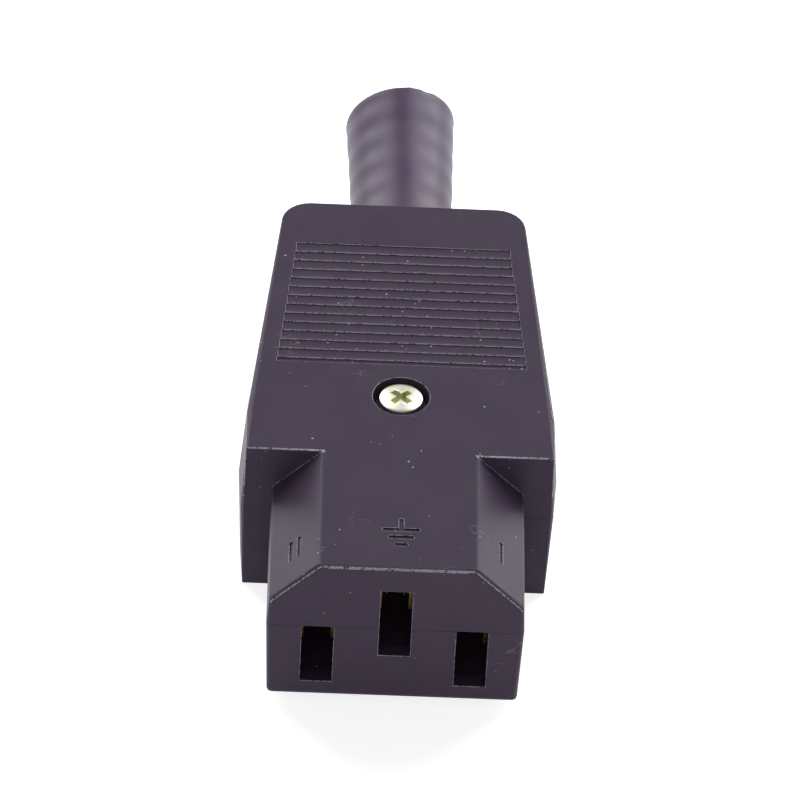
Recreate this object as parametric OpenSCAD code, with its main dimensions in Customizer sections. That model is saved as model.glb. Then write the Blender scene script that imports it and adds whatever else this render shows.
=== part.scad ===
// Rewirable C13 line socket. Two moulded shells meet at a flat parting line and are drawn
// together by one screw and nut. They hold three sheet-metal contacts on screw terminals,
// a cord clamp and the collar of a rubber boot.
// X runs across the pin slots, Y from the nose to the boot and Z up, in millimetres.
// The underside lies on Z = 0, under the middle of the overall length.

/* [Body] */
// Width across the shoulders, at the parting line
body_w = 28.7; // [27.5:0.1:31]
// Width at the rear, at the parting line
rear_w = 23.3; // [21:0.1:26]
// Length from the shoulders to the rear face
body_l = 35.8; // [34:0.2:40]
// Height from the underside to the top
body_h = 16.7; // [16.2:0.1:18]
// Length of the straight flanks behind the shoulders
flank_l = 5.2; // [3:0.1:8]
// Height of the upper shell above the parting line
upper_h = 7.3; // [7:0.1:7.8]
// Draft of the upper shell's outer walls, in degrees
upper_draft = 3; // [1:0.1:4]
// Draft of the lower shell's outer walls, in degrees
lower_draft = 1.8; // [1:0.1:3]
// Thickness of the side walls
wall = 1.6; // [1.2:0.1:2]
// Thickness of the floor and the roof
skin = 1.6; // [1.4:0.1:1.8]
// Thickness of the rear wall round the boot
rear_wall = 2; // [1.6:0.1:2.6]
// Radius of the outer edges
edge_r = 0.5; // [0.2:0.05:0.8]
// Radius of the upright corners at the shoulders
shoulder_r = 0.8; // [0.6:0.1:1.6]
// Radius of the upright corners at the rear
rear_r = 2.4; // [1:0.1:3]

/* [Nose] */
// Width of the nose at the parting line
nose_w = 23.4; // [23:0.1:24]
// Height of the nose, down from the top of the body
nose_h = 15.8; // [15.4:0.1:16]
// Length of the nose in front of the shoulders
nose_l = 15.8; // [15.4:0.1:17]
// Size of the two chamfers that key the nose
nose_chamfer = 4.4; // [3.8:0.1:4.8]
// Thickness of the front face
face_t = 1.6; // [1.2:0.1:2]

/* [Pin slots] */
// Spacing of the line and neutral slots
pin_pitch = 14; // [13.8:0.1:14.2]
// Height of the earth slot's centre above the other two
earth_rise = 4; // [3.8:0.1:4.2]
// Width of each slot
slot_w = 2.9; // [2.6:0.1:3.1]
// Height of the line and neutral slots
slot_h = 6.7; // [6:0.1:7]
// Height of the earth slot
earth_slot_h = 7.8; // [6.6:0.1:8]

/* [Grip] */
// Number of grooves across the grip
groove_count = 14; // [8:1:14]
// Spacing of the grooves
groove_pitch = 1.29; // [1.1:0.01:1.3]
// Width of each groove at the surface
groove_w = 0.5; // [0.5:0.02:0.8]
// Depth of each groove
groove_d = 0.25; // [0.15:0.01:0.25]
// Distance from the shoulders to the first groove
grip_start = 12.8; // [12:0.1:13.5]
// Plain margin between the grooves and the flanks
grip_margin = 1.7; // [1.2:0.1:2.5]

/* [Shell screw] */
// Distance from the shoulders to the screw
screw_from_shoulder = 8.1; // [8.1:0.1:8.6]
// Diameter of the screw's thread
screw_d = 2; // [1.8:0.1:2.4]
// Diameter of the screw's pan head
head_d = 3.8; // [3.6:0.05:4.4]
// Height of the screw's pan head
head_h = 1.6; // [1.2:0.1:1.8]
// Diameter of the recess that the head sits in
recess_d = 5.3; // [4.8:0.1:5.6]
// Depth of that recess
recess_depth = 1.6; // [1.6:0.1:2.2]
// Width of the nut across its flats
nut_af = 4; // [3.8:0.1:4.5]
// Height of the nut
nut_h = 1.6; // [1.4:0.1:2]
// Depth of the nut below the underside's surface
nut_sunk = 0.2; // [0.1:0.05:0.5]
// Plastic round the screw recess and the nut pocket
boss_wall = 1.05; // [0.8:0.05:1.2]

/* [Contacts] */
// Thickness of the contact sheet
sheet_t = 0.4; // [0.3:0.05:0.5]
// Height of each contact
contact_h = 4.6; // [4:0.1:5]
// Gap between a contact's leaves along their straight part
leaf_gap = 2.9; // [2.6:0.1:3.1]
// Gap between the leaves where they grip the pin
pinch_gap = 1.7; // [1.5:0.1:1.9]
// Distance from the front face's inner side to the contacts
contact_setback = 3; // [1:0.1:3.2]
// Length of a contact's leaves
leaf_l = 7; // [6:0.1:7.2]
// Length of the tail between the line and neutral contacts and their blocks
pin_tail_l = 2.6; // [2:0.1:2.8]
// Length of the tail between the earth contact and its block
earth_tail_l = 1; // [0.8:0.1:1.2]
// Thickness of the steel clip round the leaves
clip_t = 0.3; // [0.2:0.05:0.4]
// Length of the clip
clip_l = 3; // [2:0.1:4]

/* [Terminals] */
// Width of each terminal block
block_w = 5.4; // [5:0.1:5.6]
// Length of each terminal block
block_l = 5; // [4.8:0.1:5]
// Height of each terminal block
block_h = 5; // [4.8:0.1:5.4]
// Diameter of the wire hole in each block
wire_d = 2.4; // [2:0.1:2.6]
// Diameter of the terminal screw's thread
clamp_thread_d = 2.5; // [2:0.1:2.6]
// Diameter of the terminal screw's head
clamp_head_d = 4.2; // [3.8:0.1:4.6]
// Height of the terminal screw's head
clamp_head_h = 1.3; // [1.1:0.1:1.5]

/* [Cord clamp] */
// Diameter of the largest cord that the clamp takes
cord_d = 7.2; // [6.5:0.1:7.3]
// Distance from the shoulders to the clamp
clamp_from_shoulder = 25; // [22:0.5:26]
// Spacing of the clamp's two screws
clamp_pitch = 13.2; // [12.8:0.1:13.8]
// Width of the clamp along the cord
clamp_w = 4.4; // [4.2:0.1:5]
// Thickness of the clamp's feet
clamp_t = 1.6; // [1.3:0.1:1.7]
// Diameter of the cord clamp screws' thread
tapping_d = 2.2; // [1.8:0.1:2.4]

/* [Boot] */
// Length of the boot outside the body
boot_out = 21.1; // [16:0.1:30]
// Diameter of the boot where it leaves the body
boot_d = 9.4; // [9:0.1:9.8]
// Diameter of the boot at its free end
boot_end_d = 10.6; // [9.8:0.1:11]
// Diameter of the hole for the cord
boot_bore = 7.5; // [7.2:0.1:7.8]
// Diameter of the collar held between the shells
collar_d = 12; // [11:0.1:12.2]
// Thickness of the collar
collar_t = 1.5; // [1.2:0.1:2]
// Spacing of the soft rings along the boot
ring_pitch = 3.3; // [3:0.1:4.2]
// Height of the rings
ring_h = 0.14; // [0.06:0.02:0.3]

/* [Fits] */
// Clearance between moulded parts that slide together
fit = 0.1; // [0.05:0.01:0.15]
// Clearance round a screw's thread
thread_fit = 0.04; // [0.02:0.01:0.08]
// Gap between the cord clamp's arch and the roof
clamp_gap = 0.5; // [0.3:0.05:0.8]

/* [Hidden] */
$fn = 48;
shell_colour = "#3d3742";
rubber_colour = "#38343c";
zinc_colour = "#d3cfa8";
brass_colour = "#c9a75c";
steel_colour = "#b9bcc0";
eps = 0.02;

// Places along Y, from the front face of the nose
shoulder_y = nose_l;
rear_y = shoulder_y + body_l;
flank_y = shoulder_y + flank_l;
overall_l = rear_y + boot_out;
screw_y = shoulder_y + screw_from_shoulder;
clamp_y = shoulder_y + clamp_from_shoulder;
grip_y = shoulder_y + grip_start;

// Heights
parting_z = body_h - upper_h;
nose_bottom_z = body_h - nose_h;
line_z = parting_z - slot_h / 2;
earth_z = line_z + earth_rise;
roof_z = body_h - skin;
seat_z = body_h - recess_depth;
nut_top_z = nut_sunk + nut_h;

// Inset of the straight cavity walls, measured from the outline at the parting line
cavity_inset = wall + max(parting_z * tan(lower_draft), (body_h - parting_z) * tan(upper_draft));

// Contact, clip and terminal bay
contact_y = face_t + contact_setback;
leaf_end_y = contact_y + leaf_l;
contact_w = leaf_gap + 2 * sheet_t;
clip_y = contact_y + 2.2;
clip_w = contact_w + 2 * (thread_fit + clip_t);
clip_h = contact_h + 2 * (thread_fit + clip_t);
bridge_y = leaf_end_y + sheet_t;
tail_t = 2 * sheet_t;
tail_h = 3;
tail_grip = 1.5;
bay_w = block_w + 2 * fit;
bay_wall = 1.2;
chamber_w = clip_w + 0.5;
chamber_h = max(slot_h, clip_h) + 0.2;
earth_chamber_h = max(earth_slot_h, clip_h) + 0.2;
notch_w = wire_d + 1;
pin_pod_end_y = bridge_y + pin_tail_l + block_l + bay_wall;
earth_pod_end_y = bridge_y + earth_tail_l + block_l + bay_wall;
bay_head_h = block_h / 2 + clamp_head_h + 0.4;
clamp_hole = block_l * 0.62;

// Shell screw, bosses and lip
screw_hole_d = screw_d + 0.3;
upper_boss_d = recess_d + 2 * boss_wall;
lower_boss_d = (nut_af + 2 * fit) / cos(30) + 2 * boss_wall;
lip_t = 0.7;
lip_h = 0.9;

// Cord clamp
clamp_seat_z = parting_z - 1.4;
post_d = tapping_d + 1.8;
rib_t = 1;
tapping_head_d = tapping_d * 1.75;
tapping_head_h = 1.3;
tapping_l = clamp_seat_z - skin - 0.4;

// Boot
collar_end_y = rear_y - rear_wall - fit;
collar_y = collar_end_y - collar_t;
web_t = 1.2;
web_end_y = collar_y - fit;

// Corner of an outline at b, between a and c, replaced by an arc of radius r
function arc_corner(a, b, c, r, steps) =
    let (
        u = (a - b) / norm(a - b),
        v = (c - b) / norm(c - b),
        half = acos(u * v) / 2,
        centre = b + (u + v) / norm(u + v) * r / sin(half),
        from = b + u * r / tan(half) - centre,
        to = b + v * r / tan(half) - centre,
        start = atan2(from[1], from[0]),
        turn = (atan2(to[1], to[0]) - start + 900) % 360 - 180
    )
    [for (i = [0:steps]) centre + r * [cos(start + turn * i / steps), sin(start + turn * i / steps)]];

// Closed outline from corners given as [x, y, radius, steps]; a radius of 0 keeps the corner
function rounded(corners) =
    let (n = len(corners))
    [for (i = [0:n - 1])
        let (
            a = corners[(i + n - 1) % n],
            b = corners[i],
            c = corners[(i + 1) % n]
        )
        each b[2] == 0 ? [[b[0], b[1]]]
            : arc_corner([a[0], a[1]], [b[0], b[1]], [c[0], c[1]], b[2], b[3])];

// Right-hand corners of an outline followed by their mirror images
function mirrored(corners) =
    concat(corners, [for (i = [len(corners) - 1:-1:0])
        [-corners[i][0], corners[i][1], corners[i][2], corners[i][3]]]);

// Outline of the body seen from above, drawn in by the given inset
function body_plan(inset) = rounded(mirrored([
    [body_w / 2 - inset, shoulder_y + inset, max(shoulder_r - inset, 0.2), 4],
    [body_w / 2 - inset, flank_y, 12, 2],
    [rear_w / 2 - inset, rear_y - inset, max(rear_r - inset, 0.4), 6]
]));

// Outline of the nose seen from the front, drawn in by the given inset
function nose_profile(inset) =
    let (
        low_w = nose_w / 2 - (parting_z - nose_bottom_z) * tan(lower_draft),
        chamfer_z = body_h - nose_chamfer,
        high_w = nose_w / 2 - (chamfer_z - parting_z) * tan(upper_draft),
        slide = inset * tan(22.5)
    )
    rounded(mirrored([
        [low_w - inset, nose_bottom_z + inset, 0.4, 3],
        [nose_w / 2 - inset, parting_z, 0, 0],
        [high_w - inset, chamfer_z - slide, 0.6, 2],
        [high_w - nose_chamfer - slide, body_h - inset, 0.9, 3]
    ]));

function draft_inset(z) =
    z > parting_z ? (z - parting_z) * tan(upper_draft) : (parting_z - z) * tan(lower_draft);

// Half width of the body's top at a place along its length, within the tapered part
function top_half_w(y) =
    body_w / 2 - draft_inset(body_h) - (body_w - rear_w) / 2 * (y - flank_y) / (rear_y - flank_y);

// Solid through a stack of outlines that have the same number of points
module loft(rings) {
    n = len(rings[0]);
    last = (len(rings) - 1) * n;
    polyhedron(
        points = [for (ring = rings) each ring],
        faces = concat(
            [[for (i = [0:n - 1]) i]],
            [for (k = [0:n:last - n], i = [0:n - 1]) [k + i, k + n + i, k + (i + 1) % n]],
            [for (k = [0:n:last - n], i = [0:n - 1]) [k + n + i, k + n + (i + 1) % n, k + (i + 1) % n]],
            [[for (i = [n - 1:-1:0]) last + i]]
        )
    );
}

// Moves a part from the nose-based layout to the row's origin
module placed() {
    translate([0, -overall_l / 2, 0]) children();
}

// Round bar or hole along Y
module bar_y(d, x, z, y0, y1) {
    translate([x, y0, z]) rotate([-90, 0, 0]) cylinder(d = d, h = y1 - y0);
}

// Box given by its middle in X and its limits in Y and Z
module block(x, w, y0, y1, z0, z1) {
    translate([x - w / 2, y0, z0]) cube([w, y1 - y0, z1 - z0]);
}

// Prism over the body's outline between two heights
module plan_prism(inset, z0, z1) {
    translate([0, 0, z0]) linear_extrude(z1 - z0) polygon(body_plan(inset));
}

module body_form() {
    bottom = [for (a = [0:30:90]) [edge_r * (1 - cos(a)), edge_r * (1 - sin(a))]];
    top = [for (a = [90:-30:0]) [body_h - edge_r * (1 - cos(a)), edge_r * (1 - sin(a))]];
    loft([for (level = concat(bottom, [[parting_z, 0]], top))
        [for (p = body_plan(level[1] + draft_inset(level[0]))) [p[0], p[1], level[0]]]]);
}

module nose_form() {
    front = [for (a = [90:-30:0]) [edge_r * (1 - cos(a)), edge_r * (1 - sin(a))]];
    loft([for (level = concat([[shoulder_y + 2 * edge_r, 0]], front))
        [for (p = nose_profile(level[1])) [p[0], level[0], p[1]]]]);
}

module outer_form() {
    body_form();
    nose_form();
}

// The three pin slots through the front face
module pin_slots() {
    for (x = [-pin_pitch / 2, pin_pitch / 2])
        block(x, slot_w, -1, face_t + eps, line_z - slot_h / 2, line_z + slot_h / 2);
    block(0, slot_w, -1, face_t + eps, earth_z - earth_slot_h / 2, earth_z + earth_slot_h / 2);
}

// Hole for the boot and the groove for its collar
module boot_seat() {
    bar_y(boot_d + 2 * fit, 0, parting_z, collar_end_y, rear_y + 1);
    bar_y(collar_d + 2 * fit, 0, parting_z, web_end_y, collar_end_y + fit);
    bar_y(cord_d + 1, 0, parting_z, web_end_y - web_t - 1, web_end_y + 1);
}

// Room for one contact from the front face back, the bay for its terminal block and a notch for the wire
module contact_room(x, z, tail_l, room_h, bay_top_z, notch_end_y) {
    block_y = bridge_y + tail_l;
    block(x, chamber_w, face_t, block_y - fit + eps, z - room_h / 2, z + room_h / 2);
    block(x, bay_w, block_y - fit, block_y + block_l + fit, z - block_h / 2, bay_top_z);
    block(x, notch_w, block_y + block_l, notch_end_y, z - notch_w / 2, bay_top_z);
}

// Wall that holds the boot's collar from inside
module boot_web(z0, z1) {
    intersection() {
        plan_prism(cavity_inset - 0.3, z0, z1);
        block(0, body_w, web_end_y - web_t, web_end_y, z0, z1);
    }
}

// Locating lip along the flanks, or the rebate for it when grown by a clearance
module lip(grow) {
    intersection() {
        difference() {
            plan_prism(cavity_inset - lip_t - grow, parting_z - eps, parting_z + lip_h + grow);
            plan_prism(cavity_inset, parting_z - 1, parting_z + lip_h + 1);
        }
        block(0, body_w, flank_y - grow, web_end_y - web_t - 1 + grow, parting_z - 1, parting_z + 2);
    }
}

module cord_posts() {
    for (side = [-1, 1])
        translate([side * clamp_pitch / 2, clamp_y, skin - eps])
            cylinder(d = post_d, h = clamp_seat_z - skin + eps);
    for (y = [clamp_y - clamp_w / 2, clamp_y + clamp_w / 2])
        block(0, clamp_pitch, y - rib_t / 2, y + rib_t / 2, skin - eps, clamp_seat_z);
}

module lower_shell() {
    color(shell_colour) placed() difference() {
        union() {
            difference() {
                intersection() {
                    outer_form();
                    block(0, 2 * body_w, -1, rear_y + 1, -1, parting_z);
                }
                intersection() {
                    plan_prism(cavity_inset, skin, parting_z + 1);
                    block(0, body_w, 0, rear_y - rear_wall, 0, parting_z + 1);
                }
            }
            for (x = [-pin_pitch / 2, pin_pitch / 2])
                block(x, bay_w + 2 * bay_wall, shoulder_y + 1, pin_pod_end_y, skin - eps, parting_z);
            block(0, pin_pitch, shoulder_y + 1, earth_pod_end_y, skin - eps, parting_z);
            translate([0, screw_y, skin - eps]) cylinder(d = lower_boss_d, h = parting_z - skin + eps);
            boot_web(skin - eps, parting_z);
            cord_posts();
            lip(0);
        }
        pin_slots();
        for (x = [-pin_pitch / 2, pin_pitch / 2])
            contact_room(x, line_z, pin_tail_l, chamber_h, parting_z + 1, pin_pod_end_y + eps);
        contact_room(0, earth_z, earth_tail_l, earth_chamber_h, parting_z + 1, earth_pod_end_y + eps);
        boot_seat();
        bar_y(cord_d, 0, parting_z, clamp_y - clamp_w, clamp_y + clamp_w);
        for (side = [-1, 1])
            translate([side * clamp_pitch / 2, clamp_y, clamp_seat_z - tapping_l])
                cylinder(d = tapping_d + 2 * thread_fit, h = tapping_l + 1);
        translate([0, screw_y, nut_top_z - eps]) cylinder(d = screw_hole_d, h = body_h);
        translate([0, screw_y, -1])
            cylinder(d = (nut_af + 2 * fit) / cos(30), h = nut_top_z + 1, $fn = 6);
    }
}

// One groove of the grip, with a round floor and square ends
module groove(y) {
    r = (groove_w * groove_w / 4 + groove_d * groove_d) / (2 * groove_d);
    half = top_half_w(y) - grip_margin;
    translate([-half, y, body_h + r - groove_d]) rotate([0, 90, 0]) cylinder(r = r, h = 2 * half, $fn = 40);
}

module upper_shell() {
    color(shell_colour) placed() difference() {
        union() {
            difference() {
                intersection() {
                    outer_form();
                    block(0, 2 * body_w, -1, rear_y + 1, parting_z, body_h + 1);
                }
                intersection() {
                    plan_prism(cavity_inset, parting_z - 1, roof_z);
                    block(0, body_w, 0, rear_y - rear_wall, 0, body_h);
                }
            }
            translate([0, screw_y, parting_z]) cylinder(d = upper_boss_d, h = roof_z - parting_z + eps);
            boot_web(parting_z, roof_z + eps);
        }
        pin_slots();
        for (x = [-pin_pitch / 2, pin_pitch / 2])
            contact_room(x, line_z, pin_tail_l, chamber_h, line_z + bay_head_h, pin_pod_end_y + eps);
        contact_room(0, earth_z, earth_tail_l, earth_chamber_h, earth_z + bay_head_h, earth_pod_end_y + eps);
        boot_seat();
        lip(fit);
        for (i = [0:groove_count - 1]) groove(grip_y + i * groove_pitch);
        translate([0, screw_y, seat_z]) cylinder(d = recess_d, h = recess_depth + 1);
        translate([0, screw_y, parting_z - 1]) cylinder(d = screw_hole_d, h = body_h);
    }
}

// Radius of the boot's ringed, widening outside
function boot_r(y) =
    boot_d / 2 + (boot_end_d - boot_d) / 2 * (y - rear_y) / boot_out
        - ring_h * (1 - cos(360 * (overall_l - y) / ring_pitch)) / 2;

module strain_relief_boot() {
    steps = floor(4 * boot_out / ring_pitch);
    color(rubber_colour) placed() difference() {
        translate([0, 0, parting_z]) rotate([-90, 0, 0]) rotate_extrude($fn = 64) polygon(concat(
            [[0, collar_y], [collar_d / 2, collar_y], [collar_d / 2, collar_end_y],
             [boot_d / 2, collar_end_y], [boot_d / 2, rear_y]],
            [for (i = [steps - 1:-1:1])
                let (y = overall_l - i * ring_pitch / 4)
                if (y > rear_y + 0.5) [boot_r(y), y]],
            [[boot_end_d / 2, overall_l - 0.4], [boot_end_d / 2 - 0.4, overall_l], [0, overall_l]]
        ));
        bar_y(boot_bore, 0, parting_z, collar_y - 1, overall_l + 1);
    }
}

// Pan-head screw standing on z = 0 with its shank below; its drive is a cross or a slot
module pan_screw(thread, shank, head, height, cross) {
    crown = height * 0.32;
    dome_r = (head * head / 4 + crown * crown) / (2 * crown);
    difference() {
        union() {
            translate([0, 0, -shank]) cylinder(d = thread, h = shank + eps);
            intersection() {
                cylinder(d = head, h = height);
                translate([0, 0, height - dome_r]) sphere(r = dome_r, $fn = 64);
            }
        }
        if (cross) {
            for (turn = [0, 90]) rotate([0, 0, turn])
                block(0, head * 0.56, -head * 0.08, head * 0.08, height * 0.35, height + 1);
        } else {
            block(0, head + 1, -head * 0.08, head * 0.08, height * 0.55, height + 1);
        }
    }
}

module assembly_screw() {
    color(zinc_colour) placed() translate([0, screw_y, seat_z])
        rotate([0, 0, 45]) pan_screw(screw_d, seat_z - nut_sunk - 0.4, head_d, head_h, true);
}

module assembly_nut() {
    color(zinc_colour) placed() translate([0, screw_y, nut_sunk]) difference() {
        cylinder(d = nut_af / cos(30), h = nut_h, $fn = 6);
        translate([0, 0, -1]) cylinder(d = screw_d + 2 * thread_fit, h = nut_h + 2);
    }
}

// Sheet-metal fork: two leaves that grip the pin, a bridge behind them and a doubled tail
module contact(x, z, tail_l) {
    inner = leaf_gap / 2;
    grip = pinch_gap / 2;
    leaf = [
        [inner, leaf_end_y], [inner, contact_y + 3.4], [grip, contact_y + 1.4], [grip + 0.35, contact_y]
    ];
    color(brass_colour) placed() translate([x, 0, z]) {
        translate([0, 0, -contact_h / 2]) linear_extrude(contact_h) {
            for (side = [-1, 1])
                polygon(concat(
                    [for (p = leaf) [side * p[0], p[1]]],
                    [for (i = [len(leaf) - 1:-1:0]) [side * (leaf[i][0] + sheet_t), leaf[i][1]]]
                ));
            translate([-contact_w / 2, leaf_end_y]) square([contact_w, sheet_t]);
        }
        block(0, tail_t, bridge_y - eps, bridge_y + tail_l + tail_grip, -tail_h / 2, tail_h / 2);
    }
}

// Steel clip that backs the leaves, open below
module contact_clip(x, z) {
    color(steel_colour) placed() translate([x, 0, z]) difference() {
        block(0, clip_w, clip_y, clip_y + clip_l, -clip_h / 2, clip_h / 2);
        block(0, clip_w - 2 * clip_t, clip_y - 1, clip_y + clip_l + 1,
            clip_t - clip_h / 2, clip_h / 2 - clip_t);
        block(0, clip_w / 3, clip_y - 1, clip_y + clip_l + 1, -clip_h, 0);
    }
}

// Brass block: tail slot in front, wire hole behind, screw hole from above
module terminal(x, z, tail_l) {
    color(brass_colour) placed() translate([x, bridge_y + tail_l, z]) difference() {
        block(0, block_w, 0, block_l, -block_h / 2, block_h / 2);
        block(0, tail_t + 2 * thread_fit, -1, tail_grip + thread_fit,
            -tail_h / 2 - thread_fit, tail_h / 2 + thread_fit);
        bar_y(wire_d, 0, 0, tail_grip + 0.5, block_l + 1);
        translate([0, clamp_hole, 0]) cylinder(d = clamp_thread_d + 2 * thread_fit, h = block_h);
    }
}

module terminal_screw(x, z, tail_l) {
    color(steel_colour) placed() translate([x, bridge_y + tail_l + clamp_hole, z + block_h / 2])
        pan_screw(clamp_thread_d, block_h / 2 - wire_d * 0.2, clamp_head_d, clamp_head_h, false);
}

module cord_clamp() {
    arch_r = upper_h - skin - clamp_gap;
    color(shell_colour) placed() difference() {
        union() {
            block(0, clamp_pitch, clamp_y - clamp_w / 2, clamp_y + clamp_w / 2,
                clamp_seat_z, clamp_seat_z + clamp_t);
            for (side = [-1, 1])
                translate([side * clamp_pitch / 2, clamp_y, clamp_seat_z]) cylinder(d = clamp_w, h = clamp_t);
            intersection() {
                bar_y(2 * arch_r, 0, parting_z, clamp_y - clamp_w / 2, clamp_y + clamp_w / 2);
                block(0, 2 * body_w, clamp_y - clamp_w, clamp_y + clamp_w, clamp_seat_z, body_h);
            }
        }
        bar_y(cord_d, 0, parting_z, clamp_y - clamp_w, clamp_y - rib_t / 2);
        bar_y(cord_d - 0.8, 0, parting_z, clamp_y - clamp_w, clamp_y + clamp_w);
        bar_y(cord_d, 0, parting_z, clamp_y + rib_t / 2, clamp_y + clamp_w);
        for (side = [-1, 1])
            translate([side * clamp_pitch / 2, clamp_y, 0]) {
                cylinder(d = tapping_d + 0.3, h = body_h);
                translate([0, 0, clamp_seat_z + clamp_t]) cylinder(d = tapping_head_d + 2 * fit, h = body_h);
            }
    }
}

module cord_clamp_screw(side) {
    color(zinc_colour) placed() translate([side * clamp_pitch / 2, clamp_y, clamp_seat_z + clamp_t])
        pan_screw(tapping_d, clamp_t + tapping_l - 0.5, tapping_head_d, tapping_head_h, true);
}

lower_shell();
upper_shell();
strain_relief_boot();
assembly_screw();
assembly_nut();
contact(pin_pitch / 2, line_z, pin_tail_l);  // line_contact
contact(-pin_pitch / 2, line_z, pin_tail_l);  // neutral_contact
contact(0, earth_z, earth_tail_l);  // earth_contact
contact_clip(pin_pitch / 2, line_z);  // line_contact_clip
contact_clip(-pin_pitch / 2, line_z);  // neutral_contact_clip
contact_clip(0, earth_z);  // earth_contact_clip
terminal(pin_pitch / 2, line_z, pin_tail_l);  // line_terminal
terminal(-pin_pitch / 2, line_z, pin_tail_l);  // neutral_terminal
terminal(0, earth_z, earth_tail_l);  // earth_terminal
terminal_screw(pin_pitch / 2, line_z, pin_tail_l);  // line_terminal_screw
terminal_screw(-pin_pitch / 2, line_z, pin_tail_l);  // neutral_terminal_screw
terminal_screw(0, earth_z, earth_tail_l);  // earth_terminal_screw
cord_clamp();
cord_clamp_screw(-1);  // cord_clamp_screw_left
cord_clamp_screw(1);  // cord_clamp_screw_right
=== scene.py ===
# Finish, studio and camera for a rewirable three-pin line socket.
# Lengths are metres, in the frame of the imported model.
import math
import bmesh
import bpy
from mathutils import Matrix, Vector, noise


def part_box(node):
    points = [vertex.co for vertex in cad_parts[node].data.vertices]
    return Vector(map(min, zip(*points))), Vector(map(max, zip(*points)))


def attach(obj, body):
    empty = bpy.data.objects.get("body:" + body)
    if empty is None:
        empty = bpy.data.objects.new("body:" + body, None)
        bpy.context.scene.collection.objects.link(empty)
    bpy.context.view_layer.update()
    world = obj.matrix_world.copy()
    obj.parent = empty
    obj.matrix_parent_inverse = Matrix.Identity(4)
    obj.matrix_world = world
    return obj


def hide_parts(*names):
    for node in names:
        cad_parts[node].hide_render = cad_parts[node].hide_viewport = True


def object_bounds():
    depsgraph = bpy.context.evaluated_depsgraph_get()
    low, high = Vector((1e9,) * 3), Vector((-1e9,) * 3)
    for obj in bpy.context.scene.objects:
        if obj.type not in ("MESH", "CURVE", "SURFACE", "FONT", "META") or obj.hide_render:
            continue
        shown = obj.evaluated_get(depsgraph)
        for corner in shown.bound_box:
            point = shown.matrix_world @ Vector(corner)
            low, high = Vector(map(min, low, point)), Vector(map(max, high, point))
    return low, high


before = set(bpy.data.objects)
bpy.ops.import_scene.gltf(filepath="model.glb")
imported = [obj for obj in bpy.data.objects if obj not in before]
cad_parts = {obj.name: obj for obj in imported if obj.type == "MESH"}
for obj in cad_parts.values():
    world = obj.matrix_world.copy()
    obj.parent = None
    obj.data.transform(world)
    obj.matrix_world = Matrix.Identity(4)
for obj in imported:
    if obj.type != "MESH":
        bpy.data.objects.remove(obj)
cadLow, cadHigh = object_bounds()
mm = 0.001
print("frame loaded:", len(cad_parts), "CAD nodes")

upperLow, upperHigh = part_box("upper_shell")
partingZ = upperLow.z
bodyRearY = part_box("lower_shell")[1].y
noseFrontY = cadLow.y


# Camera and studio

cameraView = {
    "aim": (0.12 * mm, -4.05 * mm, 9.0 * mm),
    "distance": 0.650,
    "azimuth": 1.465,     # degrees to the right of +Y
    "elevation": 40.665,  # degrees above the horizon
    "roll": 3.126,
    "lens": 311.2,
}


def makeCamera(view):
    turn, tilt, roll = (math.radians(view[k]) for k in ("azimuth", "elevation", "roll"))
    ahead = Vector((math.sin(turn) * math.cos(tilt), math.cos(turn) * math.cos(tilt), -math.sin(tilt)))
    right = Vector((math.cos(turn), -math.sin(turn), 0))
    up = right.cross(ahead)
    rolledRight = math.cos(roll) * right + math.sin(roll) * up
    rolledUp = math.cos(roll) * up - math.sin(roll) * right
    camera = bpy.data.objects.new("camera", bpy.data.cameras.new("camera"))
    camera.data.lens = view["lens"]
    camera.data.sensor_width = 36
    camera.data.clip_start = 0.01
    axes = Matrix((rolledRight, rolledUp, -ahead)).transposed().to_4x4()
    camera.matrix_world = Matrix.Translation(Vector(view["aim"]) - ahead * view["distance"]) @ axes
    bpy.context.scene.collection.objects.link(camera)
    bpy.context.scene.camera = camera


# Each lamp faces the middle of the part. Radiance 1 is as bright as a white card.
studioLamps = {
    "rearLeftWindow": {"azimuth": -34, "elevation": 31, "distance": 0.9,
                       "size": (0.44, 0.95), "radiance": 3.9},
    "rearRightWindow": {"azimuth": 38, "elevation": 31, "distance": 0.9,
                        "size": (0.44, 0.95), "radiance": 4.3},
    "lowFrontCard": {"azimuth": 180, "elevation": 14, "distance": 0.8,
                     "size": (0.9, 0.36), "radiance": 0.75},
}


def makeLamps():
    centre = (cadLow + cadHigh) / 2
    for name, values in studioLamps.items():
        turn, tilt = math.radians(values["azimuth"]), math.radians(values["elevation"])
        away = Vector((math.sin(turn) * math.cos(tilt), math.cos(turn) * math.cos(tilt), math.sin(tilt)))
        lamp = bpy.data.lights.new(name, "AREA")
        lamp.shape = "RECTANGLE"
        lamp.size, lamp.size_y = values["size"]
        lamp.energy = values["radiance"] * math.pi * lamp.size * lamp.size_y
        holder = bpy.data.objects.new(name, lamp)
        holder.location = centre + away * values["distance"]
        holder.rotation_mode = "QUATERNION"
        holder.rotation_quaternion = away.to_track_quat("Z", "Y")  # its height stays upright
        holder.visible_camera = False
        bpy.context.scene.collection.objects.link(holder)


studioStage = {
    "floorSize": 1.6,
    "floorColour": (0.86, 0.86, 0.86, 1),
    "floorGlow": 0.8,      # added for camera, mirror and glass rays
    "skyFill": 0.16,       # what the surroundings give as light
    "ceiling": 0.20,       # brightness high up in reflections
    "fadeFrom": 0.12,      # the reflected sky darkens from this height to the next
    "fadeTo": 0.55,
    "floorGap": 0.01 * mm,
    "floorRoughness": 0.9,
    "floorSpecular": 0.1,
}


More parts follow.
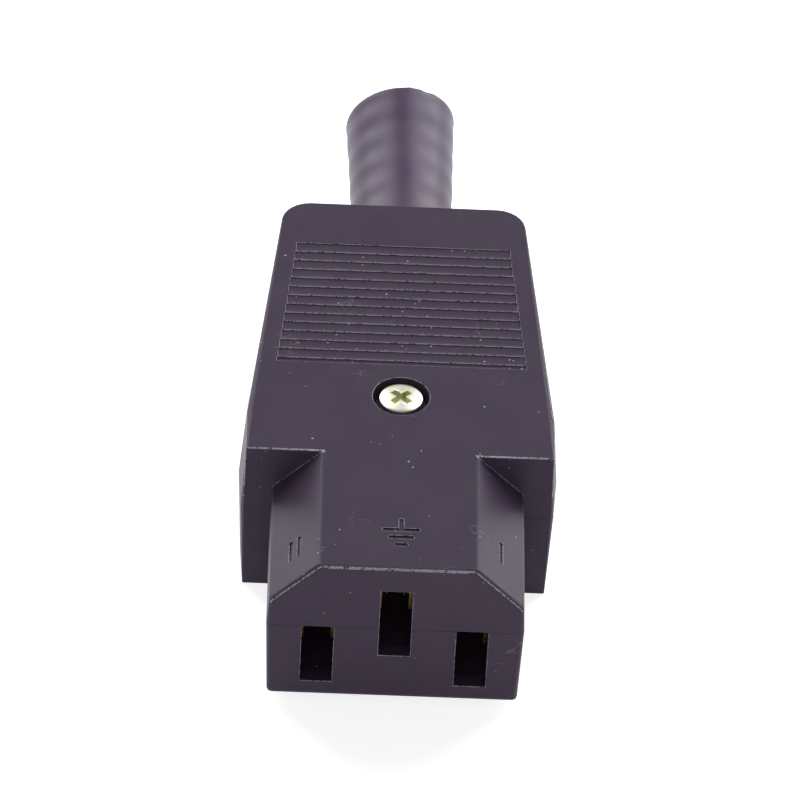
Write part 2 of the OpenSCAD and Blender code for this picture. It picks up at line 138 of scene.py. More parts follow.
def addNode(tree, kind, settings=None, **inputs):
    node = tree.nodes.new(kind)
    for key, value in (settings or {}).items():
        setattr(node, key, value)
    for key, value in inputs.items():
        number = key[1:] if key[0] == "i" else ""
        socket = node.inputs[int(number) if number.isdigit() else key.replace("_", " ")]
        if isinstance(value, bpy.types.NodeSocket):
            tree.links.new(value, socket)
        else:
            socket.default_value = value
    return node


def seenRays(tree):
    # 1 for rays from the camera, from mirrors and through glass, 0 for light
    path = addNode(tree, "ShaderNodeLightPath")
    most = addNode(tree, "ShaderNodeMath", {"operation": "MAXIMUM"},
                   i0=path.outputs["Is Camera Ray"], i1=path.outputs["Is Glossy Ray"])
    return path, addNode(tree, "ShaderNodeMath", {"operation": "MAXIMUM"},
                         i0=most.outputs[0], i1=path.outputs["Is Transmission Ray"]).outputs[0]


def makeStage():
    bm = bmesh.new()
    bmesh.ops.create_grid(bm, x_segments=1, y_segments=1, size=studioStage["floorSize"])
    bmesh.ops.translate(bm, verts=bm.verts, vec=(0, 0, cadLow.z - studioStage["floorGap"]))
    floor = objectFrom(bm, "floor")
    material = bpy.data.materials.new("paleFloor")
    material.use_nodes = True
    tree = material.node_tree
    shader = tree.nodes["Principled BSDF"]
    shader.inputs["Base Color"].default_value = studioStage["floorColour"]
    shader.inputs["Roughness"].default_value = studioStage["floorRoughness"]
    shader.inputs["Specular IOR Level"].default_value = studioStage["floorSpecular"]
    seen = seenRays(tree)[1]
    strength = addNode(tree, "ShaderNodeMath", {"operation": "MULTIPLY"},
                       i0=seen, i1=studioStage["floorGlow"])
    glow = addNode(tree, "ShaderNodeEmission", Strength=strength.outputs[0])
    both = addNode(tree, "ShaderNodeAddShader", i0=shader.outputs[0], i1=glow.outputs[0])
    tree.links.new(both.outputs[0], tree.nodes["Material Output"].inputs["Surface"])
    floor.data.materials.append(material)

    world = bpy.data.worlds.new("studio")
    bpy.context.scene.world = world
    world.use_nodes = True
    tree = world.node_tree
    background = tree.nodes["Background"]
    place = addNode(tree, "ShaderNodeTexCoord")
    height = addNode(tree, "ShaderNodeSeparateXYZ", Vector=place.outputs["Generated"])
    fade = addNode(tree, "ShaderNodeMapRange", {"interpolation_type": "SMOOTHSTEP"},
                   Value=height.outputs["Z"], i1=studioStage["fadeFrom"], i2=studioStage["fadeTo"],
                   i3=1.0, i4=studioStage["ceiling"])
    path, seen = seenRays(tree)
    indirect = addNode(tree, "ShaderNodeMix", {"data_type": "FLOAT"}, i0=path.outputs["Is Camera Ray"],
                       i2=fade.outputs[0], i3=1.0)
    strength = addNode(tree, "ShaderNodeMix", {"data_type": "FLOAT"}, i0=seen,
                       i2=studioStage["skyFill"], i3=indirect.outputs[0])
    background.inputs["Color"].default_value = (1, 1, 1, 1)
    tree.links.new(strength.outputs[0], background.inputs["Strength"])


# Mesh helpers

weldDistance = 0.002 * mm
edgeLimits = {
    "shortest": 0.03 * mm,   # shorter edges stay as they are
    "segments": 2,
    "jointHalf": 0.1 * mm,   # no wear or painted highlight this near the joint between the shells
}


def objectFrom(bm, name):
    mesh = bpy.data.meshes.new(name)
    bm.to_mesh(mesh)
    bm.free()
    thing = bpy.data.objects.new(name, mesh)
    bpy.context.scene.collection.objects.link(thing)
    return thing


def weldedCopy(nodeName):
    # the CAD node's loose triangles, joined and with its flat faces whole again
    bm = bmesh.new()
    bm.from_mesh(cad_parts[nodeName].data)
    bmesh.ops.remove_doubles(bm, verts=bm.verts, dist=weldDistance)
    bmesh.ops.dissolve_limit(bm, angle_limit=math.radians(0.3), verts=bm.verts, edges=bm.edges)
    return bm


def cutAway(bm, cutters):
    # subtracts each cutter, and returns the cut mesh
    blank = objectFrom(bm, "blank")
    tools = [objectFrom(cutter, "cutter") for cutter in cutters]
    for tool in tools:
        modifier = blank.modifiers.new("cut", "BOOLEAN")
        modifier.operation = "DIFFERENCE"
        modifier.solver = "EXACT"
        modifier.object = tool
    mesh = bpy.data.meshes.new_from_object(blank.evaluated_get(bpy.context.evaluated_depsgraph_get()))
    cut = bmesh.new()
    cut.from_mesh(mesh)
    bpy.data.meshes.remove(mesh)
    for spare in [blank, *tools]:
        bpy.data.objects.remove(spare)
    bmesh.ops.remove_doubles(cut, verts=cut.verts, dist=weldDistance)
    return cut


def breakEdges(bm, width, sharpest=40):
    # small round on the outside edges; the new faces carry edgeMask, where wear and a painted highlight show
    mask = bm.faces.layers.float.new("edgeMask")
    sharp = [e for e in bm.edges if len(e.link_faces) == 2
             and e.calc_face_angle_signed() > math.radians(sharpest)
             and e.calc_length() > edgeLimits["shortest"]]
    made = bmesh.ops.bevel(bm, geom=sharp, offset=width, offset_type="OFFSET",
                           segments=edgeLimits["segments"], profile=0.5, affect="EDGES",
                           clamp_overlap=False, material=-1)
    for face in made["faces"]:
        face[mask] = float(abs(face.calc_center_median().z - partingZ) > edgeLimits["jointHalf"])


def settle(thing, nodeName, material, sharpest=38):
    # smooth shading with its sharp edges kept, finish, and place in the part
    thing.data.shade_smooth()
    thing.data.set_sharp_from_angle(angle=math.radians(sharpest))
    weighted = thing.modifiers.new("evenShading", "WEIGHTED_NORMAL")
    weighted.keep_sharp = True
    thing.data.materials.clear()
    thing.data.materials.append(material)
    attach(thing, "root")
    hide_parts(nodeName)
    return thing


# Effects that several materials share

def newGroup(name, inputs, outputs):
    group = bpy.data.node_groups.new(name, "ShaderNodeTree")
    for label, value in inputs.items():
        socket = group.interface.new_socket(name=label, in_out="INPUT", socket_type="NodeSocketFloat")
        socket.default_value = value
    for label in outputs:
        group.interface.new_socket(name=label, in_out="OUTPUT", socket_type="NodeSocketFloat")
    return group, addNode(group, "NodeGroupInput").outputs, addNode(group, "NodeGroupOutput")


def useGroup(tree, group, **inputs):
    return addNode(tree, "ShaderNodeGroup", {"node_tree": group}, **inputs).outputs


def math2(tree, operation, a, b=0.0, clamp=False):
    settings = {"operation": operation, "use_clamp": clamp}
    return addNode(tree, "ShaderNodeMath", settings, i0=a, i1=b).outputs[0]


def stepBetween(tree, value, low, high):
    return addNode(tree, "ShaderNodeMapRange", {"interpolation_type": "SMOOTHSTEP"},
                   Value=value, i1=low, i2=high).outputs[0]


def mixColour(tree, factor, first, second):
    return addNode(tree, "ShaderNodeMix", {"data_type": "RGBA"}, i0=factor, i6=first, i7=second).outputs[2]


def makeGrain():
    # fine skin of a moulded surface, with slow changes of tone
    group, given, out = newGroup("mouldedGrain", {"Fineness": 5000.0, "Drift": 300.0}, ["Height", "Tone"])
    place = addNode(group, "ShaderNodeTexCoord").outputs["Object"]
    fine = addNode(group, "ShaderNodeTexNoise", Vector=place,
                   Scale=given["Fineness"], Detail=3.0, Roughness=0.6)
    slow = addNode(group, "ShaderNodeTexNoise", Vector=place, Scale=given["Drift"], Detail=2.0, Roughness=0.5)
    group.links.new(fine.outputs[0], out.inputs["Height"])
    group.links.new(stepBetween(group, slow.outputs[0], 0.35, 0.65), out.inputs["Tone"])
    return group


def makeDust():
    # round specks of uneven size, more of them where Where is high
    defaults = {"Spacing": 1400.0, "Amount": 0.1, "Size": 0.3, "Where": 1.0}
    group, given, out = newGroup("dustSpecks", defaults, ["Dust"])
    place = addNode(group, "ShaderNodeTexCoord").outputs["Object"]
    cells = addNode(group, "ShaderNodeTexVoronoi", Vector=place, Scale=given["Spacing"])
    chance = addNode(group, "ShaderNodeSeparateColor", Color=cells.outputs["Color"]).outputs
    wanted = math2(group, "MULTIPLY", given["Amount"], given["Where"])
    present = math2(group, "LESS_THAN", chance["Red"], wanted)
    radius = math2(group, "MULTIPLY", given["Size"], math2(group, "ADD", chance["Green"], 0.25))
    inside = math2(group, "SUBTRACT", radius, cells.outputs["Distance"])
    soft = math2(group, "MULTIPLY", inside, 12.0, clamp=True)
    group.links.new(math2(group, "MULTIPLY", soft, present), out.inputs["Dust"])
    return group


def makeLint():
    # thin curled hairs: parts of the level lines of a noise
    group, given, out = newGroup("lintHairs", {"Curl": 420.0, "Thickness": 0.01, "Amount": 0.3}, ["Lint"])
    place = addNode(group, "ShaderNodeTexCoord").outputs["Object"]
    field = addNode(group, "ShaderNodeTexNoise", Vector=place, Scale=given["Curl"], Detail=1.0, Roughness=0.4)
    away = math2(group, "ABSOLUTE", math2(group, "SUBTRACT", field.outputs[0], 0.5))
    line = math2(group, "LESS_THAN", away, given["Thickness"])
    patches = addNode(group, "ShaderNodeTexVoronoi", Vector=place,
                      Scale=math2(group, "MULTIPLY", given["Curl"], 0.9))
    chance = addNode(group, "ShaderNodeSeparateColor", Color=patches.outputs["Color"]).outputs
    present = math2(group, "LESS_THAN", chance["Red"], given["Amount"])
    group.links.new(math2(group, "MULTIPLY", line, present), out.inputs["Lint"])
    return group


def makeEdgeWearAndHighlight():
    # broken bright line along the edges: wear and a painted highlight
    group, given, out = newGroup("edgeWearAndHighlight", {"Edge": 0.0, "Breakup": 1500.0, "Amount": 0.5}, ["Rub"])
    place = addNode(group, "ShaderNodeTexCoord").outputs["Object"]
    patches = addNode(group, "ShaderNodeTexNoise", Vector=place,
                      Scale=given["Breakup"], Detail=2.0, Roughness=0.7)
    level = math2(group, "SUBTRACT", 1.0, given["Amount"])
    shown = stepBetween(group, patches.outputs[0], math2(group, "SUBTRACT", level, 0.06),
                        math2(group, "ADD", level, 0.06))
    group.links.new(math2(group, "MULTIPLY", shown, given["Edge"]), out.inputs["Rub"])
    return group


# Where the painted highlight lines run, from the nose's front face, the middle and the parting plane
highlightLines = {"shoulder": 15.8 * mm, "noseTopHalf": 6.9 * mm, "abovePart": 2.6 * mm, "facing": 0.9}


def makePaintedEdgeHighlights():
    # 1 in a thin line along the nose's front edges and where nose and shoulders meet: a painted highlight
    group, given, out = newGroup("paintedEdgeHighlights", {"Reach": 0.13 * mm}, ["Edge"])
    place = addNode(group, "ShaderNodeSeparateXYZ",
                    Vector=addNode(group, "ShaderNodeTexCoord").outputs["Object"]).outputs
    facing = addNode(group, "ShaderNodeSeparateXYZ",
                     Vector=addNode(group, "ShaderNodeNewGeometry").outputs["True Normal"]).outputs
    lines = []
    for along in (noseFrontY, noseFrontY + highlightLines["shoulder"]):
        away = math2(group, "ABSOLUTE", math2(group, "SUBTRACT", place["Y"], along))
        lines.append(math2(group, "LESS_THAN", away, given["Reach"]))
    # the line behind runs only outside the nose's flat top
    outside = math2(group, "GREATER_THAN", math2(group, "ABSOLUTE", place["X"]), highlightLines["noseTopHalf"])
    both = math2(group, "MAXIMUM", lines[0], math2(group, "MULTIPLY", lines[1], outside))
    upper = math2(group, "GREATER_THAN", place["Z"], partingZ + highlightLines["abovePart"])
    turned = math2(group, "LESS_THAN", math2(group, "ABSOLUTE", facing["Y"]), highlightLines["facing"])
    shown = math2(group, "MULTIPLY", math2(group, "MULTIPLY", both, upper), turned)
    group.links.new(shown, out.inputs["Edge"])
    return group


def makeScratches():
    # handling marks on bare metal
    group, given, out = newGroup("handlingMarks", {"Fineness": 2500.0, "Drift": 700.0}, ["Height", "Tone"])
    place = addNode(group, "ShaderNodeTexCoord").outputs["Object"]
    drawn = addNode(group, "ShaderNodeMapping", Vector=place, Rotation=(0.3, 0.2, 0.6), Scale=(1, 9, 3))
    lines = addNode(group, "ShaderNodeTexNoise", Vector=drawn.outputs[0], Scale=given["Fineness"], Detail=4.0)
    slow = addNode(group, "ShaderNodeTexNoise", Vector=place, Scale=given["Drift"], Detail=3.0)
    group.links.new(lines.outputs[0], out.inputs["Height"])
    group.links.new(stepBetween(group, slow.outputs[0], 0.38, 0.62), out.inputs["Tone"])
    return group


mouldedGrain = makeGrain()
dustSpecks = makeDust()
lintHairs = makeLint()
edgeWearAndHighlight = makeEdgeWearAndHighlight()
paintedEdgeHighlights = makePaintedEdgeHighlights()
handlingMarks = makeScratches()


def newMaterial(name):
    material = bpy.data.materials.new(name)
    material.use_nodes = True
    return material, material.node_tree, material.node_tree.nodes["Principled BSDF"]


shellFinish = {
    "colour": (0.064, 0.042, 0.080, 1),
    "paler": (0.070, 0.048, 0.084, 1),
    # pale edge colour: wear and a painted highlight along the edges
    "wearHighlightColour": (0.48, 0.43, 0.51, 1),
    "dust": (0.62, 0.58, 0.64, 1),
    "roughness": 0.38,
    "rougher": 0.46,
    "specular": 0.22,
    "grainDepth": 0.003 * mm,
    # groove dust, below the top: where it starts, is full, thins and ends
    "dustDepths": (0.45 * mm, 0.2 * mm, 0.06 * mm, 0.01 * mm),
}


def makeShellPlastic(values):
    material, tree, shader = newMaterial("shellPlastic")
    grain = useGroup(tree, mouldedGrain, Fineness=5200.0, Drift=260.0)
    edge = addNode(tree, "ShaderNodeAttribute", {"attribute_name": "edgeMask"}).outputs["Fac"]
    # painted highlight along the nose's front edges and in the shoulder crease
    line = useGroup(tree, paintedEdgeHighlights, Reach=0.18 * mm)["Edge"]
    edge = math2(tree, "MAXIMUM", edge, line)
    edgeWearHighlight = useGroup(tree, edgeWearAndHighlight, Edge=edge, Breakup=3400.0, Amount=0.56)["Rub"]
    # dust gathers in the grip's grooves, just under the top
    place = addNode(tree, "ShaderNodeTexCoord").outputs["Object"]
    height = addNode(tree, "ShaderNodeSeparateXYZ", Vector=place).outputs["Z"]
    start, full, thin, end = (cadHigh.z - depth for depth in values["dustDepths"])
    sunk = math2(tree, "SUBTRACT", stepBetween(tree, height, start, full),
                 stepBetween(tree, height, thin, end))
    where = math2(tree, "ADD", math2(tree, "MULTIPLY", sunk, 6.0), 1.0)
    specks = useGroup(tree, dustSpecks, Spacing=2600.0, Amount=0.012, Size=0.26, Where=where)["Dust"]
    lint = useGroup(tree, lintHairs, Curl=620.0, Thickness=0.003, Amount=0.035)["Lint"]
    colour = mixColour(tree, grain["Tone"], values["colour"], values["paler"])
    # the edges turn pale: wear and a painted highlight
    colour = mixColour(tree, edgeWearHighlight, colour, values["wearHighlightColour"])
    powder = math2(tree, "MAXIMUM", specks, math2(tree, "MULTIPLY", lint, 0.45))
    colour = mixColour(tree, math2(tree, "MULTIPLY", powder, 0.8), colour, values["dust"])
    tree.links.new(colour, shader.inputs["Base Color"])
    rough = addNode(tree, "ShaderNodeMapRange", Value=grain["Height"], i1=0.3, i2=0.7,
                    i3=values["roughness"], i4=values["rougher"]).outputs[0]
    rough = math2(tree, "MAXIMUM", rough, math2(tree, "MULTIPLY", powder, 0.9))
    tree.links.new(rough, shader.inputs["Roughness"])
    relief = math2(tree, "ADD", grain["Height"], math2(tree, "MULTIPLY", specks, 3.0))
    bump = addNode(tree, "ShaderNodeBump", Height=relief, Distance=values["grainDepth"])
    tree.links.new(bump.outputs[0], shader.inputs["Normal"])
    shader.inputs["Specular IOR Level"].default_value = values["specular"]
    return material


bootFinish = {
    "colour": (0.100, 0.062, 0.128, 1),
    "paler": (0.120, 0.080, 0.146, 1),
    "dust": (0.5, 0.46, 0.52, 1),
    "specular": 0.30,
    "roughness": 0.34,
    "rougher": 0.42,
    "grainDepth": 0.002 * mm,
}


def makeBootRubber(values):
    material, tree, shader = newMaterial("bootRubber")
    grain = useGroup(tree, mouldedGrain, Fineness=3600.0, Drift=240.0)
    specks = useGroup(tree, dustSpecks, Spacing=1300.0, Amount=0.02, Size=0.26)["Dust"]
    colour = mixColour(tree, grain["Tone"], values["colour"], values["paler"])
    colour = mixColour(tree, math2(tree, "MULTIPLY", specks, 0.5), colour, values["dust"])
    tree.links.new(colour, shader.inputs["Base Color"])
    rough = addNode(tree, "ShaderNodeMapRange", Value=grain["Height"], i1=0.3, i2=0.7,
                    i3=values["roughness"], i4=values["rougher"]).outputs[0]
    tree.links.new(rough, shader.inputs["Roughness"])
    bump = addNode(tree, "ShaderNodeBump", Height=grain["Height"], Distance=values["grainDepth"])
    tree.links.new(bump.outputs[0], shader.inputs["Normal"])
    shader.inputs["Specular IOR Level"].default_value = values["specular"]
    return material


metalFinishes = {
    "zincPlate": {"colour": (0.97, 0.95, 0.86, 1), "other": (0.88, 0.88, 0.62, 1),
                  "rough": 0.28, "rougher": 0.42},
    "turnedBrass": {"colour": (0.50, 0.36, 0.16, 1), "other": (0.36, 0.26, 0.12, 1),
                    "rough": 0.24, "rougher": 0.42},
    "springSteel": {"colour": (0.62, 0.63, 0.66, 1), "other": (0.50, 0.50, 0.52, 1),
                    "rough": 0.22, "rougher": 0.38},
}


def makeMetal(name, values):
    material, tree, shader = newMaterial(name)
    marks = useGroup(tree, handlingMarks, Fineness=2600.0, Drift=900.0)
    colour = mixColour(tree, marks["Tone"], values["colour"], values["other"])
    tree.links.new(colour, shader.inputs["Base Color"])
    shader.inputs["Metallic"].default_value = 1.0
    rough = addNode(tree, "ShaderNodeMapRange", Value=marks["Height"], i1=0.3, i2=0.7,
                    i3=values["rough"], i4=values["rougher"]).outputs[0]
    tree.links.new(rough, shader.inputs["Roughness"])
    bump = addNode(tree, "ShaderNodeBump", Height=marks["Height"], Distance=0.004 * mm)
    tree.links.new(bump.outputs[0], shader.inputs["Normal"])
    return material


shellPlastic = makeShellPlastic(shellFinish)
bootRubber = makeBootRubber(bootFinish)
zincPlate, turnedBrass, springSteel = (makeMetal(name, values) for name, values in metalFinishes.items())
print("materials made:", len(bpy.data.materials))


# Shells

shellDetail = {
    "edgeBreak": 0.05 * mm,
    "markDepth": 0.14 * mm,
    "markWidth": 0.42 * mm,
    "chamfer": 4.4 * mm,
    "sharpest": 20,       # degrees; keeps the draft's soft edges crisp
}

# Cut-in marks: strokes as (x, y, length along x, length along y) from the mark's middle, in mm.
# The earth sign is its stem and three bars; the other two are plain tallies.
noseMarks = {
    "earth": {"x": 0.2, "fromFront": 4.9, "lean": 0,
              "strokes": [(0, 1.3, 0, 1.0), (0, 0.5, 3.0, 0), (0, -0.5, 1.9, 0), (0, -1.5, 0.8, 0)]},
    "leftTally": {"x": -9.34, "fromFront": 4.7, "lean": -45,
                  "strokes": [(-0.5, 0, 0, 2.2), (0.5, 0, 0, 2.2)]},
    "rightTally": {"x": 9.34, "fromFront": 5.2, "lean": 45, "strokes": [(0, 0, 0, 2.4)]},
}
chamferMiddleZ = cadHigh.z - shellDetail["chamfer"] / 2


def markCutters(values):
    cutters = []
    width, depth = shellDetail["markWidth"], shellDetail["markDepth"]
    height = chamferMiddleZ if values["lean"] else cadHigh.z
    place = Matrix.Translation((values["x"] * mm, noseFrontY + values["fromFront"] * mm, height))
    place @= Matrix.Rotation(math.radians(values["lean"]), 4, "Y")
    for x, y, alongX, alongY in values["strokes"]:
        bm = bmesh.new()
        bmesh.ops.create_cube(bm, size=1.0)
        bmesh.ops.scale(bm, verts=bm.verts, vec=(alongX * mm + width, alongY * mm + width, 2 * depth))
        upright = [e for e in bm.edges if abs(e.verts[0].co.z - e.verts[1].co.z) > depth]
        bmesh.ops.bevel(bm, geom=upright, offset=width * 0.4, offset_type="OFFSET", segments=3, profile=0.5,
                        affect="EDGES", clamp_overlap=True, material=-1)
        bmesh.ops.translate(bm, verts=bm.verts, vec=(x * mm, y * mm, 0))
        bmesh.ops.transform(bm, matrix=place, verts=bm.verts)
        cutters.append(bm)
    return cutters


# The moulded outside: crisp edges, ends without draft and a grip of ramped grooves.
# Places are in mm from the nose's front face and the underside.
crispShape = {
    "shoulder": 15.8, "rear": 51.6, "flankEnd": 21.0, "top": 16.7,
    "halfWidth": 14.35, "rearHalfWidth": 11.65, "upperDraft": 3.0, "lowerDraft": 1.8,
    "edge": 0.5, "corner": 0.8,
    "newShoulderHalf": 14.35, "newRearHalf": 11.6, "newRear": 51.75, "newDraft": 1.4,
    "rearRound": 2.4, "newRearRound": 2.65, "edgeScale": 0.3, "cornerScale": 0.35,
    "grooveStart": 28.6, "groovePitch": 1.29, "grooveCount": 14, "grooveHalf": 0.25,
    "grooveDepthScale": 0.45, "rampStretch": 2.6, "chamferReach": 11.6,
    "grooveHalfLength": 12.2, "grooveReach": 0.3, "steepFrom": 0.15, "noseTopHalf": 6,
    "sideBand": 1.5, "rearBand": 1.6, "bandFade": 0.6, "faceBand": 1,  # how deep the change reaches
    "slack": 0.01, "edgeSlack": 0.02,
}


def bandShare(depth, band):
    return min(max((band - depth) / crispShape["bandFade"], 0), 1)


def crispPlace(x, y, z):
    v = crispShape
    part = partingZ / mm
    rise = abs(z - part) * math.tan(math.radians(v["upperDraft"] if z > part else v["lowerDraft"]))
    newRise = abs(z - part) * math.tan(math.radians(v["newDraft"]))
    taper = (v["halfWidth"] - v["rearHalfWidth"]) * max(y - v["flankEnd"], 0) / (v["rear"] - v["flankEnd"])
    narrowing = v["newShoulderHalf"] - v["newRearHalf"]
    newTaper = narrowing * (y - v["shoulder"]) / (v["newRear"] - v["shoulder"])
    oldHalf, newHalf = v["halfWidth"] - taper - rise, v["newShoulderHalf"] - max(newTaper, 0) - newRise
    side, front, back = oldHalf - abs(x), y - v["shoulder"] - rise, v["rear"] - rise - y
    below, above = v["top"] - z, z
    reach, corner = v["edge"] + v["edgeSlack"], v["corner"] + v["edgeSlack"]
    onBody = y > v["shoulder"] - v["slack"]
    # rounded rear corners keep their turn and get their own radius
    oldRound = v["rearRound"] - rise
    across, along = abs(x) - oldHalf + oldRound, y - v["rear"] + rise + oldRound
    inset = oldRound - math.hypot(across, along)
    if across > -v["slack"] and along > -v["slack"] and inset < v["faceBand"]:
        level = min(below, above)
        inset = max(inset, 0) * (v["edgeScale"] if level < reach else 1)
        turn, radius = math.atan2(along, across), v["newRearRound"] - inset
        x = math.copysign(newHalf - v["newRearRound"] + radius * math.cos(turn), x)
        y = v["newRear"] - v["newRearRound"] + radius * math.sin(turn)
        if level < reach:
            z = v["top"] - below * v["edgeScale"] if below < above else above * v["edgeScale"]
        return x, y, z
    if onBody and side < v["sideBand"]:
        moved = side
        if side < reach and min(below, above) < reach:
            moved = side * v["edgeScale"]
        elif side < corner and front < corner:
            moved = side * v["cornerScale"]
        # Known fault: copysign drops the difference's sign, so a side meant to move in moves out.
        # It leaves the flanks up to 0.39 mm outside the CAD box.
        x += math.copysign((newHalf - moved - abs(x)) * bandShare(side, v["sideBand"]), x)
    if onBody and front < corner and abs(front) < v["faceBand"]:
        near = side < corner or min(below, above) < reach
        y = v["shoulder"] + max(front, 0) * (v["cornerScale"] if near else 1)
    elif onBody and back < v["rearBand"]:
        gone = back * v["edgeScale"] if back < reach and min(below, above) < reach else back
        y += (v["newRear"] - gone - y) * bandShare(back, v["rearBand"])
    edgeOfBody = onBody and (side < reach or -v["slack"] < front < reach or back < reach)
    if edgeOfBody or y < reach:
        if below < reach:
            if front < reach and v["noseTopHalf"] < abs(x) < v["chamferReach"]:
                x -= math.copysign(below * (1 - v["edgeScale"]), x)
            z = v["top"] - below * v["edgeScale"]
        elif above < reach and onBody:
            z = above * v["edgeScale"]
    return x, y, z


def grooveState(x, y, z):
    # shallow grooves, steep behind and running out forwards as a ramp
    v = crispShape
    index = round((y - v["grooveStart"]) / v["groovePitch"])
    offset = y - v["grooveStart"] - index * v["groovePitch"]
    inGroove = 0 <= index < v["grooveCount"] and abs(offset) < v["grooveHalf"] + v["slack"]
    if inGroove and z > v["top"] - v["grooveReach"] and abs(x) < v["grooveHalfLength"]:
        z = v["top"] - (v["top"] - z) * v["grooveDepthScale"]
        if index > 0 and offset < v["steepFrom"]:
            y += (offset - v["steepFrom"]) * (v["rampStretch"] - 1)
    return x, y, z


def makeCrisp(bm):
    for vert in bm.verts:
        place = (vert.co.x / mm, (vert.co.y - noseFrontY) / mm, vert.co.z / mm)
        x, y, z = crispPlace(*grooveState(*place))
        vert.co = Vector((x * mm, y * mm + noseFrontY, z * mm))


def makeShells():
    upper = weldedCopy("upper_shell")
    makeCrisp(upper)
    upper = cutAway(upper, [c for values in noseMarks.values() for c in markCutters(values)])
    breakEdges(upper, shellDetail["edgeBreak"])
    settle(objectFrom(upper, "upperShellMoulding"), "upper_shell", shellPlastic,
           shellDetail["sharpest"])
    lower = weldedCopy("lower_shell")
    makeCrisp(lower)
    breakEdges(lower, shellDetail["edgeBreak"])
    settle(objectFrom(lower, "lowerShellMoulding"), "lower_shell", shellPlastic,
           shellDetail["sharpest"])
    clamp = weldedCopy("cord_clamp")
    breakEdges(clamp, shellDetail["edgeBreak"])
    settle(objectFrom(clamp, "cordClampMoulding"), "cord_clamp", shellPlastic)
    print("shells and cord clamp dressed")


# Rubber boot

bootShape = {
    "steps": 120,           # round the axis
    "rootRadius": 4.60 * mm,
    "endRadius": 5.30 * mm,
    "boreRadius": 3.75 * mm,
    "collarRadius": 6.0 * mm,
    "collarThickness": 1.5 * mm,
    "length": 20.3 * mm,    # outside the body
    "ringPitch": 3.3 * mm,
    "ringHeight": 0.05 * mm,
    "ringStart": 0.45,      # turn of the ring pattern at the free end, in radians
    "lipRadius": 0.27 * mm,
    "spacing": 0.3 * mm,    # between outline points
    "unevenness": 0.05 * mm,
    "lift": 7.2,            # upward bend from root to end, in degrees
    "swing": -2.0,          # sideways bend
    "endSkew": 0.073,       # the free end isn't cut quite square
    "innerBreak": 0.2 * mm,
    "freeFade": 3 * mm,     # where the unevenness grows to full, from the body's rear face
    "skin": 0.3 * mm,       # nothing nearer the bore than this is uneven
    "swayAcross": 0.4,
    "swayScale": 300,
    "markReach": 0.5 * mm,  # how far the nub and nick run back from the free end
    "nub": (0.13 * mm, 8, 1.8),   # height, place and width round the end, in degrees from the top
    "nick": (0.16 * mm, 28, 5),
}


def bootRadius(along):
    v = bootShape
    ring = 0.5 - 0.5 * math.cos(2 * math.pi * (v["length"] - along) / v["ringPitch"] + v["ringStart"])
    return v["rootRadius"] + (v["endRadius"] - v["rootRadius"]) * along / v["length"] - v["ringHeight"] * ring


def bootOutline(startY, neckY, endY):
    v = bootShape
    outline = [(v["boreRadius"], startY), (v["collarRadius"], startY), (v["collarRadius"], neckY),
               (v["rootRadius"], neckY), (v["rootRadius"], bodyRearY)]
    count = int((v["length"] - v["lipRadius"]) / v["spacing"])
    for i in range(1, count):
        outline.append((bootRadius(i * v["spacing"]), bodyRearY + i * v["spacing"]))
    for i in range(7):  # a quarter turn in steps of 15 degrees
        a = math.radians(15 * i)
        outline.append((bootRadius(v["length"]) - v["lipRadius"] * (1 - math.cos(a)),
                        endY - v["lipRadius"] * (1 - math.sin(a))))
    outline += [(v["boreRadius"] + v["innerBreak"], endY), (v["boreRadius"], endY - v["innerBreak"])]
    inner = int((endY - startY) / (3 * v["spacing"]))
    outline += [(v["boreRadius"], endY - (endY - startY) * i / inner) for i in range(1, inner)]
    return outline


def bendBoot(bm):
    # constant bend from the body's rear face to the free end
    v = bootShape
    lift, swing = math.radians(v["lift"]) / v["length"], math.radians(v["swing"]) / v["length"]
    for vert in bm.verts:
        along = max(vert.co.y - bodyRearY, 0)
        up, aside = lift * along, swing * along
        x, z = vert.co.x, vert.co.z
        middle = Vector(((1 - math.cos(aside)) / swing, -(up * up + aside * aside) * along / 6,
                         (1 - math.cos(up)) / lift))
        skew = v["endSkew"] * x * along / v["length"]
        vert.co = Vector((x * math.cos(aside), vert.co.y + skew - x * math.sin(aside) - z * math.sin(up),
                          z * math.cos(up))) + middle


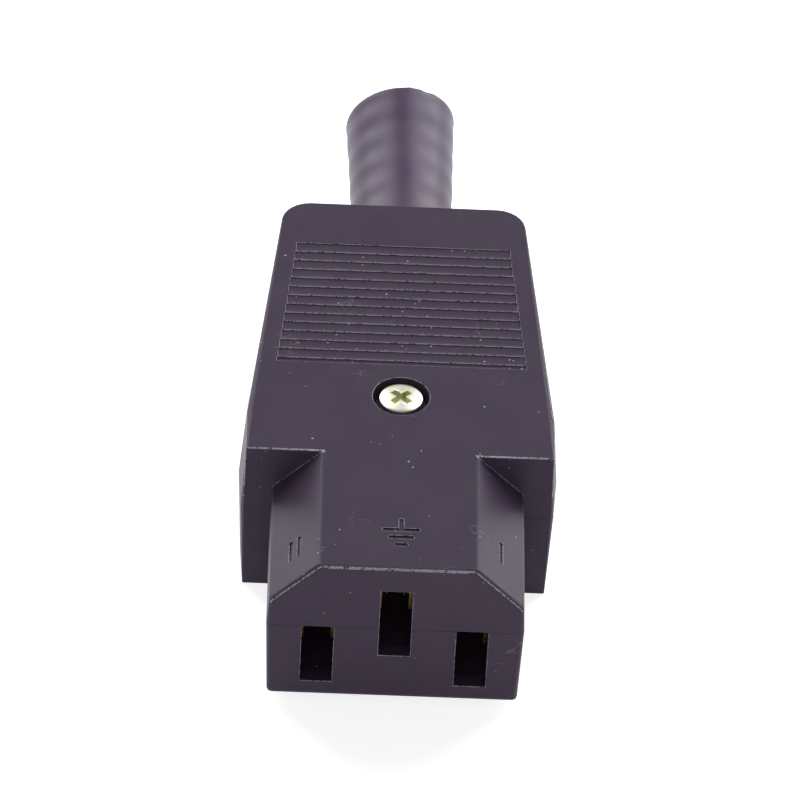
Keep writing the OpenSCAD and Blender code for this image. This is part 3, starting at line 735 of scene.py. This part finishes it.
def makeBoot():
    v = bootShape
    low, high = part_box("strain_relief_boot")
    axisZ, startY, endY = (low.z + high.z) / 2, low.y, bodyRearY + v["length"]
    bm = bmesh.new()
    points = [bm.verts.new((r, y, 0)) for r, y in bootOutline(startY, startY + v["collarThickness"], endY)]
    edges = [bm.edges.new((points[i - 1], points[i])) for i in range(len(points))]
    bmesh.ops.spin(bm, geom=points + edges, cent=(0, 0, 0), axis=(0, 1, 0), angle=2 * math.pi,
                   steps=v["steps"], use_merge=True, use_duplicate=False)
    bmesh.ops.remove_doubles(bm, verts=bm.verts, dist=weldDistance)
    bmesh.ops.recalc_face_normals(bm, faces=bm.faces)
    for vert in bm.verts:
        # soft rubber is never quite round outside the body
        free = min(max((vert.co.y - bodyRearY) / v["freeFade"], 0), 1)
        side = Vector((vert.co.x, 0, vert.co.z))
        if free > 0 and side.length > v["boreRadius"] + v["skin"]:
            across = v["swayAcross"]
            sway = noise.noise(Vector((vert.co.x * across, vert.co.y, vert.co.z * across)) * v["swayScale"])
            vert.co += side.normalized() * (sway * v["unevenness"] * free)
            # a nub and a nick that the mould left on the free end's upper edge
            turn = math.degrees(math.atan2(vert.co.x, vert.co.z))
            edge = min(max((vert.co.y - endY) / v["markReach"] + 1, 0), 1)
            height, middle, width = v["nub"]
            vert.co += side.normalized() * (height * edge * math.exp(-((turn - middle) / width) ** 2))
            height, middle, width = v["nick"]
            vert.co -= side.normalized() * (height * edge * math.exp(-((turn - middle) / width) ** 4))
    bendBoot(bm)
    bmesh.ops.translate(bm, verts=bm.verts, vec=(0, 0, axisZ))
    bm.faces.layers.float.new("edgeMask")
    boot = settle(objectFrom(bm, "cableBoot"), "strain_relief_boot", bootRubber)
    print("boot made:", len(boot.data.polygons), "faces")


# Metal parts keep their CAD form with broken edges, apart from the shell screw's head.
# Each has its slot, its material and the size of its broken edges in mm.

metalParts = {
    "assembly_screw": ("zinc", zincPlate, 0.03),
    "assembly_nut": ("zinc", zincPlate, 0.08),
    "line_contact": ("brass", turnedBrass, 0.05),
    "neutral_contact": ("brass", turnedBrass, 0.05),
    "earth_contact": ("brass", turnedBrass, 0.05),
    "line_contact_clip": ("steel", springSteel, 0.04),
    "neutral_contact_clip": ("steel", springSteel, 0.04),
    "earth_contact_clip": ("steel", springSteel, 0.04),
    "line_terminal": ("brass", turnedBrass, 0.08),
    "neutral_terminal": ("brass", turnedBrass, 0.08),
    "earth_terminal": ("brass", turnedBrass, 0.08),
    "line_terminal_screw": ("steel", springSteel, 0.03),
    "neutral_terminal_screw": ("steel", springSteel, 0.03),
    "earth_terminal_screw": ("steel", springSteel, 0.03),
    "cord_clamp_screw_left": ("zinc", zincPlate, 0.03),
    "cord_clamp_screw_right": ("zinc", zincPlate, 0.03),
}


# The shell screw's head is wide and almost flush, with a low crown.
screwHead = {
    "widen": 1.05,
    "rimDrop": 0.9 * mm,
    "crownScale": 0.45,
    "headDepth": 1.7 * mm,
    "driveRadius": 1.1 * mm,  # inside it nothing is widened
}


def shapeScrewHead(bm):
    low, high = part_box("assembly_screw")
    middle = (low + high) / 2
    for vert in bm.verts:
        if high.z - vert.co.z < screwHead["rimDrop"]:
            vert.co.z = high.z - (high.z - vert.co.z) * screwHead["crownScale"]
        fromAxis = math.hypot(vert.co.x, vert.co.y - middle.y)
        if high.z - vert.co.z < screwHead["headDepth"] and fromAxis > screwHead["driveRadius"]:
            vert.co.x *= screwHead["widen"]
            vert.co.y = middle.y + (vert.co.y - middle.y) * screwHead["widen"]


def makeMetalParts():
    for nodeName, (slot, material, edge) in metalParts.items():
        bm = weldedCopy(nodeName)
        if nodeName == "assembly_screw":
            shapeScrewHead(bm)
        breakEdges(bm, edge * mm)
        words = nodeName.split("_")
        settle(objectFrom(bm, words[0] + "".join(w.title() for w in words[1:])), nodeName, material)
    print("metal parts dressed:", len(metalParts))


makeCamera(cameraView)
makeStage()
makeLamps()
print("camera and studio set")
makeShells()
makeBoot()
makeMetalParts()

scene = bpy.context.scene
scene.view_settings.view_transform = "Standard"
bpy.context.view_layer.update()
